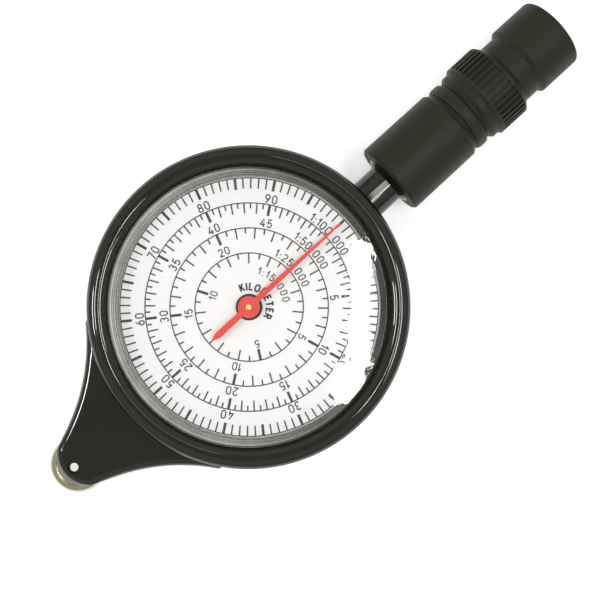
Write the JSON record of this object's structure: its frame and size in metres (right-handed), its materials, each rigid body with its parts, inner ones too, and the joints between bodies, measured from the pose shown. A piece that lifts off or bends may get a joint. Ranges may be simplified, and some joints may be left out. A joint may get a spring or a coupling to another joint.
{
  "type": "opisometer map measurer",
  "caption": "Round map measurer with a tracing wheel in its nose, a geared needle over a four-scale dial, and a swivelling torch handle.",
  "frame": {"origin": "centre of the flat back of the case, under the centre of the dial", "axes": "+Z out of the dial, +Y along the handle, the tracing wheel towards -Y"},
  "size_m": [0.044, 0.0938, 0.0122],
  "materials": {
    "case_black": "polished black",
    "grip_black": "soft matte black",
    "crystal_clear": "clear polished",
    "dial_white": "printed white",
    "dial_ink": "printed dark grey",
    "needle_red": "red",
    "steel": "turned",
    "brass": "turned",
    "rubber": "black",
    "board_green": "green",
    "led_clear": "water clear",
    "lens_clear": "clear polished",
    "reflector_chrome": "vacuum plated"
  },
  "bodies": {
    "case": {"rear_shell": "case_black", "front_shell": "case_black", "bezel_ring": "case_black", "crystal": "crystal_clear", "dial_plate": "dial_white", "scale_outer": "dial_ink", "scale_second": "dial_ink", "scale_third": "dial_ink", "scale_inner": "dial_ink", "bearing_plate": "case_black", "plate_screw_1": "steel", "plate_screw_2": "steel", "plate_screw_3": "steel", "plate_screw_4": "steel", "case_screw_1": "steel", "case_screw_2": "steel", "case_screw_3": "steel", "case_screw_4": "steel", "wheel_axle": "steel", "first_arbor": "steel", "second_arbor": "steel"},
    "wheel": {"measuring_wheel": "steel", "wheel_pinion": "brass"},
    "first_set": {"first_gear": "brass", "first_pinion": "steel"},
    "second_set": {"second_gear": "brass", "second_pinion": "steel"},
    "needle_set": {"centre_gear": "brass", "needle_arbor": "brass", "needle": "needle_red"},
    "stem": {"swivel_stem": "case_black", "stem_ring": "rubber"},
    "torch": {"torch_barrel": "grip_black", "band_ring": "grip_black", "contact_cup": "steel", "button_cell_1": "steel", "button_cell_2": "steel", "button_cell_3": "steel"},
    "torch_front": {"torch_head": "grip_black", "led_board": "board_green", "led": "led_clear", "reflector": "reflector_chrome", "torch_lens": "lens_clear"}
  },
  "joints": [
    {"name": "wheel_spin", "type": "hinge", "parent": "case", "child": "wheel", "pos_m": [0, -0.03255, 0.006], "axis": [0, 0, 1], "continuous": true},
    {"name": "first_gear_spin", "type": "hinge", "parent": "case", "child": "first_set", "pos_m": [0, -0.0276, 0.006], "axis": [0, 0, 1], "continuous": true},
    {"name": "second_gear_spin", "type": "hinge", "parent": "case", "child": "second_set", "pos_m": [0.0008, -0.01723, 0.006], "axis": [0, 0, 1], "continuous": true},
    {"name": "needle_spin", "type": "hinge", "parent": "case", "child": "needle_set", "pos_m": [0, 0, 0.006], "axis": [0, 0, 1], "continuous": true},
    {"name": "stem_swivel", "type": "hinge", "parent": "case", "child": "stem", "pos_m": [0, 0.022, 0.006], "axis": [0, 1, 0], "continuous": true},
    {"name": "torch_pull", "type": "slide", "parent": "stem", "child": "torch", "axis": [0, 1, 0], "range_m": [0, 0.0095]},
    {"name": "torch_twist", "type": "hinge", "parent": "torch", "child": "torch_front", "pos_m": [0, 0.045, 0.006], "axis": [0, 1, 0], "range_deg": [0, 90]}
  ],
  "couplings": [
    {"joint": "first_gear_spin", "follows": "wheel_spin", "ratio": -0.375},
    {"joint": "second_gear_spin", "follows": "wheel_spin", "ratio": 0.125},
    {"joint": "needle_spin", "follows": "wheel_spin", "ratio": -0.025}
  ]
}
